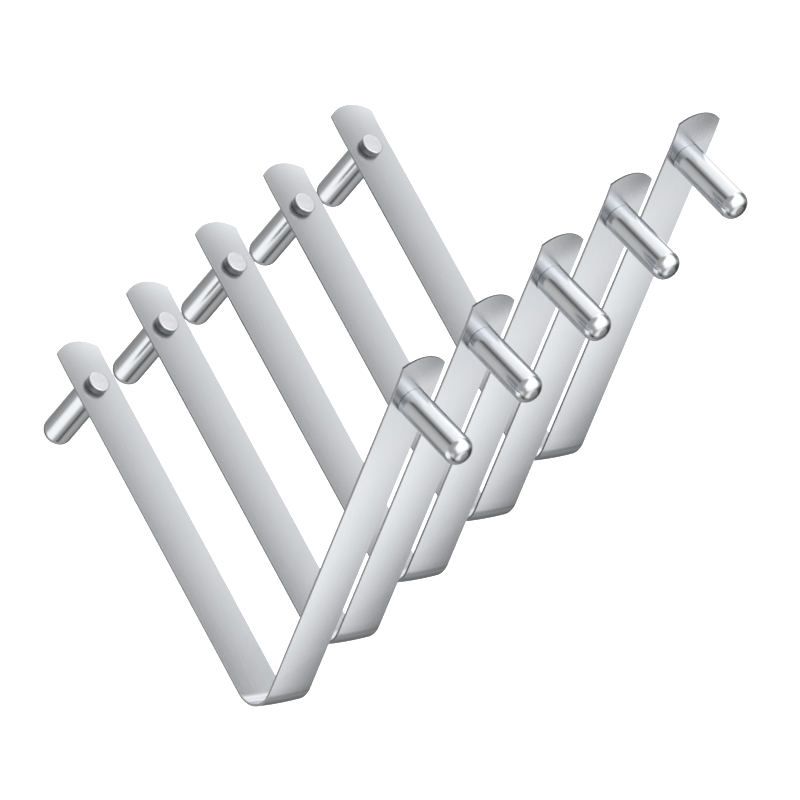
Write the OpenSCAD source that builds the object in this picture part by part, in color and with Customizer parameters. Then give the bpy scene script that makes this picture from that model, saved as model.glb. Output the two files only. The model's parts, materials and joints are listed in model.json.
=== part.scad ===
// A set of V-shaped double-button spring clips, the kind that locks one tube inside another.
// Each clip is one bent spring strip with a riveted button at the end of each leg.
// Z is up, X runs from the left buttons to the right ones, and the clips stand one behind the other in Y.
// The origin is the lowest outside point of the front clip's bend, at the middle of the strip.

/* [Strip] */
// Width of the spring strip
strip_w = 10.4; // [8:0.1:14]
// Thickness of the strip
strip_t = 0.5; // [0.3:0.05:1]
// Length of a leg, from where the middles of both legs would cross to the leg's corners
leg_l = 86; // [60:1:110]
// Angle between the two legs when nothing presses them
opening = 72; // [50:1:90]
// Radius of the bend, at the middle of the strip
bend_r = 5.5; // [3:0.1:9]
// Height of the round end of a leg above its corners
end_rise = 1.9; // [0.5:0.1:4]

/* [Button] */
// Diameter of the button outside the leg
button_d = 6; // [4.8:0.1:8]
// Length of the button outside the leg
button_l = 17; // [6:0.1:24]
// Radius of the round edge at the button's free end
button_edge_r = 2.2; // [0.3:0.1:2.3]
// Distance from the leg's corners to the button's axis
button_inset = 8.2; // [5:0.1:14]
// Diameter of the shank that passes through the leg
shank_d = 3.4; // [2:0.1:4]
// Clearance around the shank in its hole
shank_gap = 0.05; // [0.02:0.01:0.1]
// Diameter of the riveted tail inside the leg
tail_d = 4.4; // [4.2:0.1:5]
// Height of that tail
tail_h = 1.5; // [0.5:0.1:2]
// Chamfer around the tail's flat end
tail_chamfer = 0.25; // [0.1:0.05:0.4]

/* [Set] */
// Number of clips
clip_count = 5; // [1:1:12]
// Distance from one clip to the next one behind it
clip_pitch = 18.4; // [15:0.1:40]
// Rise from one clip to the next one behind it
clip_rise = 9.3; // [0:0.1:20]

/* [Hidden] */
PIECES = ["bend", "left_leg", "right_leg", "left_button", "right_button"];
$fn = 96;

LEFT = -1;
RIGHT = 1;
STEEL = "#b9bcc0";
POLISHED = "#d6d8dc";

half_opening = opening / 2;
// Height of the bend's centre, and of the point where the middles of both legs would cross
centre_z = bend_r + strip_t / 2;
crossing_z = centre_z - bend_r / sin(half_opening);
// Distance along a leg from that crossing to where the bend starts
straight_from = bend_r / tan(half_opening);
// Radius of the arc that passes through a leg's two corners and rises by end_rise between them
end_r = (strip_w * strip_w / 4 + end_rise * end_rise) / (2 * end_rise);
button_z = leg_l - button_inset;

function clip_node(i, piece) = str("clip_", i, "_", piece);

// Puts a piece on clip number i
module on_clip(i) {
    translate([0, (i - 1) * clip_pitch, (i - 1) * clip_rise]) children();
}

// A leg's own frame: Z runs up along the leg from the crossing, X points out of the clip
module on_leg(side) {
    mirror([side == LEFT ? 1 : 0, 0, 0])
        translate([0, 0, crossing_z])
            rotate([0, half_opening, 0])
                children();
}

// The round bottom of the strip, between the two legs
module bend() {
    color(STEEL)
        translate([0, 0, centre_z])
            rotate([90, 0, 0])
                rotate_extrude(angle = 180 - opening, start = 180 + half_opening)
                    translate([bend_r - strip_t / 2, -strip_w / 2])
                        square([strip_t, strip_w]);
}

// Outline of a leg, with its round end and the hole for the button's shank
module leg_outline() {
    difference() {
        union() {
            translate([-strip_w / 2, straight_from])
                square([strip_w, leg_l - straight_from]);
            intersection() {
                translate([-strip_w / 2, leg_l - end_rise])
                    square([strip_w, 2 * end_rise]);
                translate([0, leg_l + end_rise - end_r])
                    circle(r = end_r);
            }
        }
        translate([0, button_z])
            circle(r = shank_d / 2 + shank_gap);
    }
}

module leg(side) {
    color(STEEL)
        on_leg(side)
            rotate([90, 0, 90])
                linear_extrude(strip_t, center = true)
                    leg_outline();
}

// Half section of a button, with the outside of the strip at strip_t / 2 along its axis
module button_section() {
    straight_l = button_l - button_edge_r;
    face_r = button_d / 2 - button_edge_r;
    // Outside cylinder with its round edge and small flat face
    translate([0, strip_t / 2]) {
        square([button_d / 2, straight_l]);
        square([face_r, button_l]);
        intersection() {
            translate([face_r, straight_l]) circle(r = button_edge_r);
            square([button_d / 2, button_l]);
        }
    }
    // Shank, from inside the tail through the strip and into the cylinder
    translate([0, -strip_t / 2 - tail_h / 2])
        square([shank_d / 2, tail_h / 2 + strip_t + straight_l / 2]);
    // Riveted tail, flat with a chamfer
    translate([0, -strip_t / 2])
        polygon([
            [0, -tail_h],
            [tail_d / 2 - tail_chamfer, -tail_h],
            [tail_d / 2, tail_chamfer - tail_h],
            [tail_d / 2, 0],
            [0, 0],
        ]);
}

module button(side) {
    color(POLISHED)
        on_leg(side)
            translate([0, 0, button_z])
                rotate([0, 90, 0])
                    rotate_extrude()
                        button_section();
}

for (i = [1:clip_count]) {
    on_clip(i) bend();
    on_clip(i) leg(LEFT);
    on_clip(i) leg(RIGHT);
    on_clip(i) button(LEFT);
    on_clip(i) button(RIGHT);
}
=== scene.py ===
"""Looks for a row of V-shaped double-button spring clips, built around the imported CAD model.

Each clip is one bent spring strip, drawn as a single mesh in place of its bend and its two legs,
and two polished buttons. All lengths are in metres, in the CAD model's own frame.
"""

import json
import math

import bpy
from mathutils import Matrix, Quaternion, Vector


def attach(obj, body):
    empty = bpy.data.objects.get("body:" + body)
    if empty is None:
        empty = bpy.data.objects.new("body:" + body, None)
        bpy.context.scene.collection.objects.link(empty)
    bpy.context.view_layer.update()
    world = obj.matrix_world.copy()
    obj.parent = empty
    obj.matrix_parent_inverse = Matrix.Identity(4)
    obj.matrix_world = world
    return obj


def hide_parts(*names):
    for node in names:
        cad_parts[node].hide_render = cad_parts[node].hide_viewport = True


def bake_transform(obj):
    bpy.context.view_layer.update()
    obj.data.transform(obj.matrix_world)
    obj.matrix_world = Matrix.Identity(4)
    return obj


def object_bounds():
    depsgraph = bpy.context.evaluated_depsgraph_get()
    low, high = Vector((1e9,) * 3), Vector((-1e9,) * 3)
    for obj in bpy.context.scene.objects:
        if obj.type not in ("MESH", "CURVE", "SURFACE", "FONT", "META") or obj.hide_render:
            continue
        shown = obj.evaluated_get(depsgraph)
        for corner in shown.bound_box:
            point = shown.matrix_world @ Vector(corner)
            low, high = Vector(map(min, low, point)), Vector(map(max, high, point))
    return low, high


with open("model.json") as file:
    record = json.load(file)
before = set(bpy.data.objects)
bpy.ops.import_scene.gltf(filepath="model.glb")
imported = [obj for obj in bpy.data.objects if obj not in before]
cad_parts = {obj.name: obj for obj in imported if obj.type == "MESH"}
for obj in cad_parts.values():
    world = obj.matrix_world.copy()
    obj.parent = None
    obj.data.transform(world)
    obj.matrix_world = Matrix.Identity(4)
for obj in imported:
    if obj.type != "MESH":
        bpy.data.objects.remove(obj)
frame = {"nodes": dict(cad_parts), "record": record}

cad_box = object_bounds()

MM = 0.001

# The strip, as in the CAD model
STRIP_W = 10.4 * MM
STRIP_T = 0.5 * MM
LEG_L = 86.0 * MM
BEND_R = 5.5 * MM
END_RISE = 1.9 * MM
HALF_OPENING = math.radians(36.0)
EDGE_ROUND = 0.07 * MM
# Edges that turn by more than this are rounded
SHARP_ANGLE = math.radians(50.0)
# How far the strip's long edges and its tips curl towards the inside of the V
EDGE_CURL = 0.15 * MM
TIP_CURL = 0.38 * MM
# Where along a leg its tip starts to curl
TIP_CURL_FROM = LEG_L - 5.0 * MM

# The button, as in the CAD model; its axis and its radius come from the record's mounts
BUTTON_L = 17.0 * MM
BUTTON_EDGE_R = 2.2 * MM
BUTTON_INSET = 8.2 * MM
SHANK_R = 1.7 * MM
SHANK_GAP = 0.05 * MM
TAIL_R = 2.2 * MM
TAIL_H = 1.5 * MM
TAIL_CHAMFER = 0.25 * MM
# The small rounding of the button's other corners
CORNER_ROUND = 0.06 * MM

# The photographed view: the camera looks at AIM from this side and this far away
AZIMUTH = math.radians(49.1)
ELEVATION = math.radians(6.1)
ROLL = math.radians(-4.4)
AIM = Vector((13.5, 25.3, 55.2)) * MM
DISTANCE = 2.72
LENS_MM = 646.0
SENSOR_MM = 36.0
# How far the camera sees
SIGHT = 50.0

record = frame["record"]
mounts = {m["name"]: m for m in record["mounts"]}
joints = {j["name"]: j for j in record["behaviour"]["joints"]}
clip_count = sum(name.endswith("_bend") for name in frame["nodes"])


def add_object(name, data):
    """A new object in the scene."""
    added = bpy.data.objects.new(name, data)
    bpy.context.collection.objects.link(added)
    return added


# ---------------------------------------------------------------- the strip

# The strip's material slots after the first, which is for its flat faces
EDGE_SLOT = 1
TIP_SLOT = 2

# Half the bend's length along the strip, where a leg's straight part starts, and its end arc's radius
BEND_HALF = BEND_R * (math.pi / 2 - HALF_OPENING)
STRAIGHT_FROM = BEND_R / math.tan(HALF_OPENING)
END_R = (STRIP_W ** 2 / 4 + END_RISE ** 2) / (2 * END_RISE)

# Faces across the strip, and rows of faces along its bend, a leg's straight part and a leg's tip
ACROSS = 12
BEND_ROWS = 28
LEG_ROWS = 34
TIP_ROWS = 6
# Rings of faces around the hole, how they crowd towards it, and half the length of their patch
HOLE_RINGS = 4
RING_SPREAD = 0.8
PATCH_HALF = 4.2 * MM


def leg_s(z):
    """Distance along the strip of a point that is z up its leg from where the legs' middles cross."""
    return BEND_HALF + z - STRAIGHT_FROM


def strip_point(s, y, out):
    """The point at s along the strip from the bend's bottom, y across it and out from its middle."""
    side = 1 if s >= 0 else -1
    angle = min(abs(s), BEND_HALF) / BEND_R
    normal = Vector((side * math.sin(angle), 0, -math.cos(angle)))
    along = Vector((side * math.cos(angle), 0, math.sin(angle)))
    centre = Vector((0, 0, BEND_R + STRIP_T / 2))
    straight = max(abs(s) - BEND_HALF, 0)
    tip = max(abs(s) - leg_s(TIP_CURL_FROM), 0) / (LEG_L + END_RISE - TIP_CURL_FROM)
    out -= EDGE_CURL * (2 * y / STRIP_W) ** 2 + TIP_CURL * tip ** 2
    return centre + normal * (BEND_R + out) + along * straight + Vector((0, y, 0))


def strip_sheet():
    """The strip's middle sheet, flat: its (s, y) points and its faces, with both shank holes open."""
    points, faces = [], []
    columns = [STRIP_W * (k / ACROSS - 0.5) for k in range(ACROSS + 1)]

    def add_row(s_of_y):
        points.extend((s_of_y(y), y) for y in columns)
        return list(range(len(points) - ACROSS - 1, len(points)))

    def join(low, high):
        for k in range(ACROSS):
            faces.append((low[k], low[k + 1], high[k + 1], high[k]))

    bend = [add_row(lambda y, s=BEND_HALF * (2 * k / BEND_ROWS - 1): s) for k in range(BEND_ROWS + 1)]
    for low, high in zip(bend, bend[1:]):
        join(low, high)
    for side, start in ((1, bend[-1]), (-1, bend[0])):
        add_leg(points, faces, side, start, add_row, join)
    return points, faces


def add_leg(points, faces, side, start, add_row, join):
    """Adds one leg to the sheet: straight rows, the patch around the hole, and the rounded end."""
    hole_s = leg_s(LEG_L - BUTTON_INSET)
    corner_s = leg_s(LEG_L)

    def link(low, high):
        if side > 0:
            join(low, high)
        else:
            join(high, low)

    row = start
    for k in range(1, LEG_ROWS + 1):
        s = BEND_HALF + (hole_s - PATCH_HALF - BEND_HALF) * k / LEG_ROWS
        new = add_row(lambda y: side * s)
        link(row, new)
        row = new
    far = add_row(lambda y: side * (hole_s + PATCH_HALF))
    add_patch(points, faces, side, row, far, hole_s)
    row = far
    for k in range(1, TIP_ROWS + 1):
        f = k / TIP_ROWS

        def tip(y):
            end = corner_s + math.sqrt(END_R ** 2 - y ** 2) - (END_R - END_RISE)
            return side * ((hole_s + PATCH_HALF) * (1 - f) + end * f)

        new = add_row(tip)
        link(row, new)
        row = new


def add_patch(points, faces, side, low, high, hole_s):
    """Fills the patch between two rows with rings around the round hole."""

    def add_edge(y, a, b):
        new = []
        for k in range(1, ACROSS):
            f = k / ACROSS
            points.append((points[a][0] * (1 - f) + points[b][0] * f, y))
            new.append(len(points) - 1)
        return new

    right = add_edge(STRIP_W / 2, low[-1], high[-1])
    left = add_edge(-STRIP_W / 2, high[0], low[0])
    ring = low + right + high[::-1] + left
    hole_r = SHANK_R + SHANK_GAP
    count = len(ring)
    outer = ring
    for step in range(1, HOLE_RINGS + 1):
        f = (step / HOLE_RINGS) ** RING_SPREAD
        inner = []
        for index in ring:
            s, y = points[index]
            from_hole = s - side * hole_s
            length = math.hypot(from_hole, y)
            hole_wall = (side * hole_s + from_hole / length * hole_r, y / length * hole_r)
            points.append((s * (1 - f) + hole_wall[0] * f, y * (1 - f) + hole_wall[1] * f))
            inner.append(len(points) - 1)
        for k in range(count):
            quad = (outer[k], outer[(k + 1) % count], inner[(k + 1) % count], inner[k])
            faces.append(quad if side > 0 else quad[::-1])
        outer = inner


def strip_mesh():
    """One closed strip: the sheet given its thickness, with its cut edges and hole walls filled."""
    points, faces = strip_sheet()
    count = len(points)
    verts = [strip_point(s, y, out) for out in (STRIP_T / 2, -STRIP_T / 2) for s, y in points]
    used = [edge for face in faces for edge in zip(face, face[1:] + face[:1])]
    both_ways = set(used)
    open_edges = [(a, b) for a, b in used if (b, a) not in both_ways]
    solid = [tuple(face) for face in faces]
    solid += [tuple(v + count for v in reversed(face)) for face in faces]
    solid += [(b, a, a + count, b + count) for a, b in open_edges]
    mesh = bpy.data.meshes.new("strip")
    mesh.from_pydata([tuple(v) for v in verts], [], solid)
    mesh.update()
    for polygon in mesh.polygons[2 * len(faces):]:
        at_tip = all(abs(points[v % count][0]) > leg_s(LEG_L) - EDGE_ROUND for v in polygon.vertices)
        polygon.material_index = TIP_SLOT if at_tip else EDGE_SLOT
    uv = mesh.uv_layers.new(name="Strip")
    for loop in mesh.loops:
        s, y = points[loop.vertex_index % count]
        uv.data[loop.index].uv = (y / MM, s / MM)
    mesh.shade_smooth()
    return mesh


def add_strip(i, materials):
    """The whole strip of clip i, in place of its bend and its two legs."""
    mesh = strip_mesh()
    for material in materials:
        mesh.materials.append(material)
    strip = add_object(f"clip_{i}_strip", mesh)
    pivot = Vector(joints[f"clip_{i}_squeeze"]["pos_m"])
    strip.location = pivot - Vector((0, 0, STRIP_T / 2))
    edges = strip.modifiers.new("edges", "BEVEL")
    edges.width = EDGE_ROUND
    edges.segments = 2
    edges.limit_method = "ANGLE"
    edges.angle_limit = SHARP_ANGLE
    edges.harden_normals = True
    reach = strip_point(BEND_HALF, 0, 0).x
    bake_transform(strip)
    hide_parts(f"clip_{i}_bend", f"clip_{i}_left_leg", f"clip_{i}_right_leg")
    return strip


# ---------------------------------------------------------------- the buttons

# Faces around a button, and the steps of its two round corners
TURNS = 96
TAIL_STEPS = 6
DOME_STEPS = 22
# The angle in degrees at which the free end's arc starts, just past the cylinder
DOME_FROM = 3
# How much more a large face counts in the shading than a small one, where 50 is no more
FACE_WEIGHT = 60

# The button's material slots after the first, which is for its polished outside
TAIL_SHADE_SLOT = 1
TAIL_END_SLOT = 2


def arc(centre_r, centre_x, radius, start, end, steps):
    """Points (r, x) on an arc; angles in degrees from the outward radius towards the free end."""
    for k in range(steps + 1):
        a = math.radians(start + (end - start) * k / steps)
        yield centre_r + radius * math.cos(a), centre_x + radius * math.sin(a)


def button_profile(radius):
    """Half section (r, x) of a button, x = 0 at the middle of the strip, from the tail to the free end."""
    top, inside = STRIP_T / 2, -STRIP_T / 2
    round_from = top + BUTTON_L - BUTTON_EDGE_R
    yield 0.0, inside - TAIL_H
    yield TAIL_R - TAIL_CHAMFER - CORNER_ROUND, inside - TAIL_H
    yield from arc(TAIL_R - TAIL_CHAMFER, inside - TAIL_H + TAIL_CHAMFER, TAIL_CHAMFER, -90, 0, TAIL_STEPS)
    yield TAIL_R, inside - CORNER_ROUND
    yield TAIL_R - CORNER_ROUND, inside
    yield SHANK_R, inside
    yield SHANK_R, top
    yield radius - CORNER_ROUND, top
    yield radius, top + CORNER_ROUND
    yield radius, round_from
    yield from arc(radius - BUTTON_EDGE_R, round_from, BUTTON_EDGE_R, DOME_FROM, 90, DOME_STEPS)
    yield 0.0, top + BUTTON_L


def button_mesh(radius):
    """The half section turned about X."""
    profile = list(button_profile(radius))
    lengths = [0.0]
    for (r0, x0), (r1, x1) in zip(profile, profile[1:]):
        lengths.append(lengths[-1] + math.hypot(r1 - r0, x1 - x0))
    verts, rings = [], []
    for r, x in profile:
        if r == 0:
            verts.append((x, 0.0, 0.0))
            rings.append([len(verts) - 1] * TURNS)
            continue
        first = len(verts)
        for k in range(TURNS):
            a = 2 * math.pi * k / TURNS
            verts.append((x, r * math.cos(a), r * math.sin(a)))
        rings.append(list(range(first, first + TURNS)))
    faces, uvs = [], []
    for j in range(len(rings) - 1):
        for k in range(TURNS):
            n = (k + 1) % TURNS
            corners = [(rings[j][k], k, j), (rings[j][n], k + 1, j),
                       (rings[j + 1][n], k + 1, j + 1), (rings[j + 1][k], k, j + 1)]
            # At the axis two corners are the same point, and the face is a triangle
            kept = [c for m, c in enumerate(corners) if c[0] not in [d[0] for d in corners[:m]]]
            faces.append([c[0] for c in kept])
            uvs.extend((c[1] / TURNS, lengths[c[2]] / MM) for c in kept)
    mesh = bpy.data.meshes.new("button")
    mesh.from_pydata(verts, [], faces)
    mesh.update()
    for polygon in mesh.polygons:
        x, y, z = polygon.center
        # Distance from the strip's inside face, negative on the tail
        from_strip = x + STRIP_T / 2
        # The tail's side gets the dark grey that is painted shade
        if math.hypot(y, z) > SHANK_R and TAIL_CHAMFER - TAIL_H < from_strip < 0:
            polygon.material_index = TAIL_SHADE_SLOT
        elif from_strip < TAIL_CHAMFER / 2 - TAIL_H:
            polygon.material_index = TAIL_END_SLOT
    uv = mesh.uv_layers.new(name="Turned")
    for loop, value in zip(uv.data, uvs):
        loop.uv = value
    mesh.shade_smooth()
    return mesh


def add_button(i, side, materials):
    """The button of one leg of clip i, in place of its CAD node."""
    mount = mounts[f"clip_{i}_{side}_pin"]
    axis = Vector(mount["axis"])
    mesh = button_mesh(mount["dims"]["r_mm"] * MM)
    for material in materials:
        mesh.materials.append(material)
    mesh.transform(Vector((1, 0, 0)).rotation_difference(axis).to_matrix().to_4x4())
    button = add_object(f"clip_{i}_{side}_button_polished", mesh)
    # The mount is at the middle of the straight part, whose distance from the strip's middle this is
    middle = STRIP_T / 2 + (BUTTON_L - BUTTON_EDGE_R) / 2
    button.location = Vector(mount["pos_m"]) - axis * middle
    normals = button.modifiers.new("normals", "WEIGHTED_NORMAL")
    normals.weight = FACE_WEIGHT
    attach(button, f"clip_{i}_{side}")
    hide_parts(f"clip_{i}_{side}_button")


# ---------------------------------------------------------------- materials

# The darkest and lightest grey of each unpolished steel; the tails' sides are darkened all over as painted
# shade, for the shade where the tail stands on the strip
EDGE_GREYS = (0.34, 0.44)
TIP_GREYS = (0.10, 0.16)
# The tail's side is painted dark as the shade where the tail stands on the strip
TAIL_SIDE_SHADE_GREYS = (0.18, 0.26)
TAIL_END_GREYS = (0.60, 0.76)
# How much stronger blue is than red in them
STEEL_BLUE = 1.04
# How many of their small marks lie along a metre
MARKS_SCALE = 900.0

# The height of the strip's grain and of the button's turning rings
RELIEF = 0.01 * MM
# The values between which most of a noise texture lies
NOISE_LOW, NOISE_HIGH = 0.3, 0.7


def new_material(name):
    material = bpy.data.materials.new(name)
    material.use_nodes = True
    return material, material.node_tree.nodes, material.node_tree.links


def new_metal(name):
    """A new metallic material, with its nodes, its links and its shader."""
    material, nodes, links = new_material(name)
    shader = nodes["Principled BSDF"]
    shader.inputs["Metallic"].default_value = 1.0
    return material, nodes, links, shader


def add_noise(nodes, links, place, scale, detail):
    """A noise texture over the given coordinates. Returns its strength output."""
    noise = nodes.new("ShaderNodeTexNoise")
    noise.inputs["Scale"].default_value = scale
    noise.inputs["Detail"].default_value = detail
    links.new(place, noise.inputs["Vector"])
    return noise.outputs["Fac"]


def add_stretched_noise(nodes, links, place, stretch, scale, detail):
    """A noise texture over coordinates that are scaled differently along U and V."""
    mapping = nodes.new("ShaderNodeMapping")
    mapping.inputs["Scale"].default_value = (*stretch, 1.0)
    links.new(place, mapping.inputs["Vector"])
    return add_noise(nodes, links, mapping.outputs["Vector"], scale, detail)


def vary_colour(nodes, links, shader, pattern, dark, light):
    """Colours the shader between two colours, as the pattern says."""
    tone = nodes.new("ShaderNodeMix")
    tone.data_type = "RGBA"
    colour_a, colour_b = [socket for socket in tone.inputs if socket.type == "RGBA"]
    colour_a.default_value = (*dark, 1)
    colour_b.default_value = (*light, 1)
    links.new(pattern, tone.inputs["Factor"])
    mixed = next(socket for socket in tone.outputs if socket.type == "RGBA")
    links.new(mixed, shader.inputs["Base Color"])


def vary_roughness(nodes, links, shader, pattern, pattern_range, roughness_range):
    """Sets the shader's roughness between two values, as the pattern says."""
    rough = nodes.new("ShaderNodeMapRange")
    rough.inputs["From Min"].default_value, rough.inputs["From Max"].default_value = pattern_range
    rough.inputs["To Min"].default_value, rough.inputs["To Max"].default_value = roughness_range
    links.new(pattern, rough.inputs["Value"])
    links.new(rough.outputs["Result"], shader.inputs["Roughness"])


def add_relief(nodes, links, shader, pattern, strength):
    """Gives the shader the pattern as fine relief."""
    bump = nodes.new("ShaderNodeBump")
    bump.inputs["Strength"].default_value = strength
    bump.inputs["Distance"].default_value = RELIEF
    links.new(pattern, bump.inputs["Height"])
    links.new(bump.outputs["Normal"], shader.inputs["Normal"])


def add_uv(nodes, name):
    place = nodes.new("ShaderNodeUVMap")
    place.uv_map = name
    return place.outputs["UV"]


def satin_strip():
    """Cold-rolled spring steel: fine grain along the strip, a soft sheen and faint cloudiness."""
    material, nodes, links, shader = new_metal("satin_spring_steel")
    place = add_uv(nodes, "Strip")
    grain = add_stretched_noise(nodes, links, place, stretch=(9.0, 0.12), scale=2.0, detail=6.0)
    clouds = add_noise(nodes, links, place, scale=0.12, detail=3.0)
    vary_colour(nodes, links, shader, clouds, (0.540, 0.555, 0.575), (0.570, 0.580, 0.600))
    vary_roughness(nodes, links, shader, grain, (NOISE_LOW, NOISE_HIGH), (0.22, 0.28))
    add_relief(nodes, links, shader, grain, strength=0.05)
    return material


def dull_steel_and_painted_shade(name, greys):
    """Unpolished steel with small marks: the strip's cut edges, and the riveted tails' sides and ends. The
    tails' sides are coloured dark as painted shade where the tail stands on the strip.
    """
    material, nodes, links, shader = new_metal(name)
    place = nodes.new("ShaderNodeTexCoord").outputs["Object"]
    marks = add_noise(nodes, links, place, scale=MARKS_SCALE, detail=3.0)
    dark, light = [(grey, grey, STEEL_BLUE * grey) for grey in greys]
    vary_colour(nodes, links, shader, marks, dark, light)
    vary_roughness(nodes, links, shader, marks, (0.0, 1.0), (0.35, 0.50))
    return material


def polished_button():
    """Polished steel with the faint rings that turning leaves."""
    material, nodes, links, shader = new_metal("polished_steel")
    place = add_uv(nodes, "Turned")
    rings = add_stretched_noise(nodes, links, place, stretch=(0.6, 14.0), scale=1.5, detail=4.0)
    vary_colour(nodes, links, shader, rings, (0.63, 0.645, 0.665), (0.67, 0.685, 0.705))
    vary_roughness(nodes, links, shader, rings, (NOISE_LOW, NOISE_HIGH), (0.17, 0.21))
    add_relief(nodes, links, shader, rings, strength=0.03)
    return material


# ---------------------------------------------------------------- studio

# The studio's soft light, seen from the clips: an even grey that never falls below a least grey, and
# for each soft box or dark flag its direction, the angles in degrees from its middle at which its
# soft edge starts and ends, and the light that it adds or takes
BASE_LIGHT = 0.60
LEAST_LIGHT = 0.13
SOFTBOXES = (
    ((0.00, 0.05, 1.0), 8, 38, 0.95),
    ((-0.46, -0.74, -0.51), 0, 35, 1.15),
    ((-0.55, -0.80, 0.15), 4, 24, 0.25),
    ((0.15, -0.66, -0.74), 6, 23, 0.60),
    ((0.52, 0.34, 0.79), 8, 36, 0.88),
    ((-0.68, 0.65, 0.25), 8, 25, 1.10),
    ((-0.30, 0.62, 0.72), 3, 26, 1.60),
    ((0.02, 0.66, 0.75), 3, 15, 0.10),
    ((0.95, 0.17, 0.05), 36, 60, 1.30),
    ((0.88, 0.05, 0.36), 8, 26, 1.00),
    ((0.75, -0.65, 0.11), 6, 24, 0.40),
    ((-0.18, -0.71, 0.68), 1, 12, -0.50),
    ((-0.10, -0.12, -0.94), 1, 11, -0.52),
    ((-0.97, 0.0, -0.20), 8, 35, -0.30),
    ((-0.30, 0.60, -0.74), 6, 26, -0.05),
    ((-0.56, 0.66, -0.50), 6, 24, -0.30),
    ((0.30, 0.34, -0.89), 6, 28, 0.95),
    ((0.11, 0.85, -0.51), 6, 27, -0.48),
    ((0.22, 0.88, 0.42), 6, 28, -0.35),
)

# The floor: how far below the clips it lies, half its width, and its finish
FLOOR_DROP = 60 * MM
FLOOR_HALF = 6.0
FLOOR_GREY = 0.92
FLOOR_ROUGHNESS = 0.9
# The light that only the floor shows, and how wide it looks
OVERHEAD_LIGHT = 3.2
OVERHEAD_ANGLE = math.radians(100)

# A long lit card under the right legs, parallel to the row so that every clip sees it alike
CARD_FROM_X = 5 * MM
CARD_WIDTH = 80 * MM
CARD_LENGTH = 1.4
CARD_BELOW = 150 * MM
CARD_LIGHT = 1.42
# How much of the light behind it the card lets through
CARD_CLEAR = 0.45
# Its light across its width, from the edge nearest the bends
CARD_RAMP = ((0.0, 0.05), (0.18, 0.10), (0.38, 0.70), (0.8, 1.0), (1.0, 0.65))


def studio_world():
    """A soft grey studio with large soft boxes and a few dark flags."""
    world = bpy.data.worlds.new("studio")
    world.use_nodes = True
    nodes, links = world.node_tree.nodes, world.node_tree.links
    nodes.clear()
    place = nodes.new("ShaderNodeTexCoord")
    base = nodes.new("ShaderNodeValue")
    base.outputs[0].default_value = BASE_LIGHT
    total = base.outputs[0]
    for direction, inner, outer, amount in SOFTBOXES:
        dot = nodes.new("ShaderNodeVectorMath")
        dot.operation = "DOT_PRODUCT"
        dot.inputs[1].default_value = Vector(direction).normalized()
        links.new(place.outputs["Generated"], dot.inputs[0])
        edge = nodes.new("ShaderNodeMapRange")
        edge.interpolation_type = "SMOOTHERSTEP"
        edge.inputs["From Min"].default_value = math.cos(math.radians(outer))
        edge.inputs["From Max"].default_value = math.cos(math.radians(inner))
        edge.inputs["To Max"].default_value = amount
        links.new(dot.outputs["Value"], edge.inputs["Value"])
        add = nodes.new("ShaderNodeMath")
        add.operation = "ADD"
        links.new(total, add.inputs[0])
        links.new(edge.outputs["Result"], add.inputs[1])
        total = add.outputs[0]
    least = nodes.new("ShaderNodeMath")
    least.operation = "MAXIMUM"
    least.inputs[1].default_value = LEAST_LIGHT
    links.new(total, least.inputs[0])
    background = nodes.new("ShaderNodeBackground")
    links.new(least.outputs[0], background.inputs["Strength"])
    out = nodes.new("ShaderNodeOutputWorld")
    links.new(background.outputs[0], out.inputs["Surface"])
    bpy.context.scene.world = world


def card_material():
    """Light that changes across the card's width, over half-clear film."""
    material, nodes, links = new_material("lit_card")
    nodes.clear()
    place = nodes.new("ShaderNodeTexCoord")
    split = nodes.new("ShaderNodeSeparateXYZ")
    links.new(place.outputs["Object"], split.inputs[0])
    across = nodes.new("ShaderNodeMapRange")
    across.inputs["From Min"].default_value = CARD_FROM_X
    across.inputs["From Max"].default_value = CARD_FROM_X + CARD_WIDTH
    links.new(split.outputs["X"], across.inputs["Value"])
    ramp = nodes.new("ShaderNodeValToRGB")
    stops = ramp.color_ramp.elements
    while len(stops) < len(CARD_RAMP):
        stops.new(0.5)
    for stop, (position, level) in zip(stops, CARD_RAMP):
        stop.position = position
        stop.color = (level, level, level, 1)
    links.new(across.outputs["Result"], ramp.inputs["Fac"])
    glow = nodes.new("ShaderNodeEmission")
    glow.inputs["Strength"].default_value = CARD_LIGHT
    links.new(ramp.outputs["Color"], glow.inputs["Color"])
    clear = nodes.new("ShaderNodeBsdfTransparent")
    clear.inputs["Color"].default_value = (CARD_CLEAR, CARD_CLEAR, CARD_CLEAR, 1)
    both = nodes.new("ShaderNodeAddShader")
    links.new(glow.outputs[0], both.inputs[0])
    links.new(clear.outputs[0], both.inputs[1])
    out = nodes.new("ShaderNodeOutputMaterial")
    links.new(both.outputs[0], out.inputs["Surface"])
    return material


def add_card(strips):
    """The lit card under the right legs. Only the strips' reflections show its light."""
    row = Vector(joints["clip_2_squeeze"]["pos_m"]) - Vector(joints["clip_1_squeeze"]["pos_m"])
    row.normalize()
    down = row.cross(Vector((1, 0, 0))).normalized()
    near_x = Vector((CARD_FROM_X, 0, 0))
    far_x = Vector((CARD_FROM_X + CARD_WIDTH, 0, 0))
    front = down * CARD_BELOW - row * CARD_LENGTH / 2
    back = down * CARD_BELOW + row * CARD_LENGTH / 2
    corners = [front + near_x, front + far_x, back + far_x, back + near_x]
    mesh = bpy.data.meshes.new("card")
    mesh.from_pydata(corners, [], [(0, 1, 2, 3)])
    mesh.materials.append(card_material())
    card = add_object("card", mesh)
    card.visible_camera = False
    card.visible_diffuse = False
    card.visible_shadow = False
    lit = bpy.data.collections.new("lit_by_card")
    for strip in strips:
        lit.objects.link(strip)
    card.light_linking.receiver_collection = lit


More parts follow.
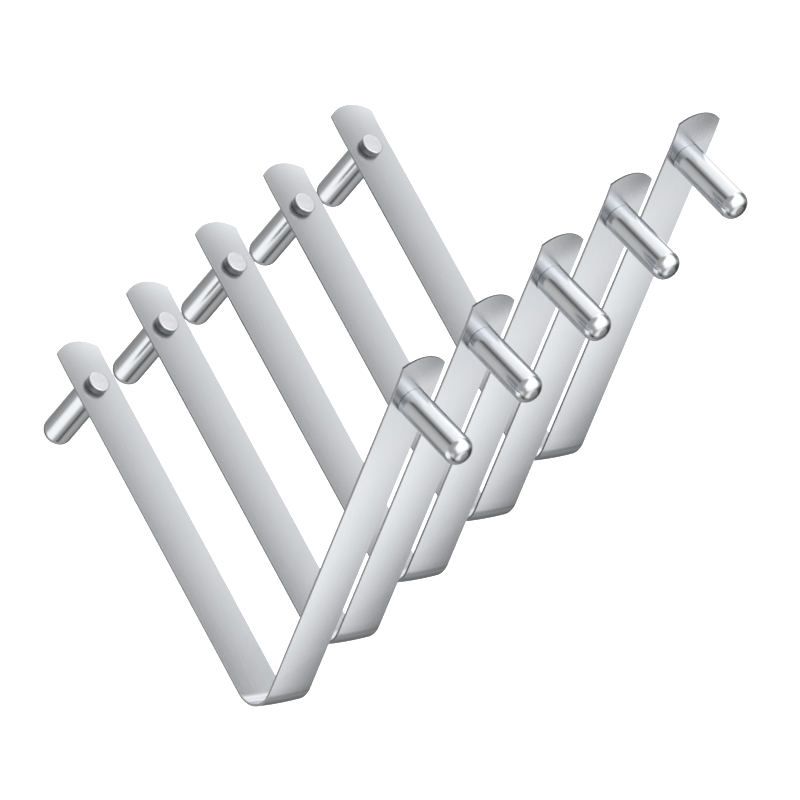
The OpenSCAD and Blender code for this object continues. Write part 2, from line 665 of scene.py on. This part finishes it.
def add_floor():
    """A plain pale floor well below the clips."""
    mesh = bpy.data.meshes.new("floor")
    h = FLOOR_HALF
    mesh.from_pydata([(-h, -h, 0), (h, -h, 0), (h, h, 0), (-h, h, 0)], [], [(0, 1, 2, 3)])
    material, nodes, links = new_material("pale_floor")
    shader = nodes["Principled BSDF"]
    shader.inputs["Base Color"].default_value = (FLOOR_GREY, FLOOR_GREY, FLOOR_GREY, 1)
    shader.inputs["Roughness"].default_value = FLOOR_ROUGHNESS
    shader.inputs["Specular IOR Level"].default_value = 0.0
    mesh.materials.append(material)
    floor = add_object("floor", mesh)
    floor.location = (0, 0, cad_box[0].z - FLOOR_DROP)
    floor.visible_glossy = False


def add_floor_light():
    """A wide, soft light from above that only the matt floor shows."""
    light = bpy.data.lights.new("overhead", "SUN")
    light.energy = OVERHEAD_LIGHT
    light.angle = OVERHEAD_ANGLE
    lamp = add_object("overhead", light)
    lamp.visible_glossy = False


def add_camera():
    """The photograph's viewing angle, with a long lens."""
    data = bpy.data.cameras.new("camera")
    data.lens = LENS_MM
    data.sensor_width = SENSOR_MM
    data.clip_end = SIGHT
    camera = add_object("camera", data)
    back = Vector((math.sin(AZIMUTH) * math.cos(ELEVATION),
                   -math.cos(AZIMUTH) * math.cos(ELEVATION),
                   math.sin(ELEVATION)))
    camera.rotation_mode = "QUATERNION"
    upright = (-back).to_track_quat("-Z", "Y")
    camera.rotation_quaternion = upright @ Quaternion((0, 0, 1), ROLL)
    camera.location = AIM + back * DISTANCE
    bpy.context.scene.camera = camera


# ---------------------------------------------------------------- the scene

bpy.context.scene.view_settings.view_transform = "Standard"
add_camera()
studio_world()
add_floor()
add_floor_light()

strip_steel = (
    satin_strip(),
    dull_steel_and_painted_shade("sheared_edge", EDGE_GREYS),
    dull_steel_and_painted_shade("sheared_tip", TIP_GREYS),
)
button_steel = (
    polished_button(),
    # The tail's side: its dark colour is painted shade
    dull_steel_and_painted_shade("tail_side_painted_shade", TAIL_SIDE_SHADE_GREYS),
    dull_steel_and_painted_shade("tail_end", TAIL_END_GREYS),
)
strips = []
for i in range(1, clip_count + 1):
    strips.append(add_strip(i, strip_steel))
    for side in ("left", "right"):
        add_button(i, side, button_steel)
add_card(strips)
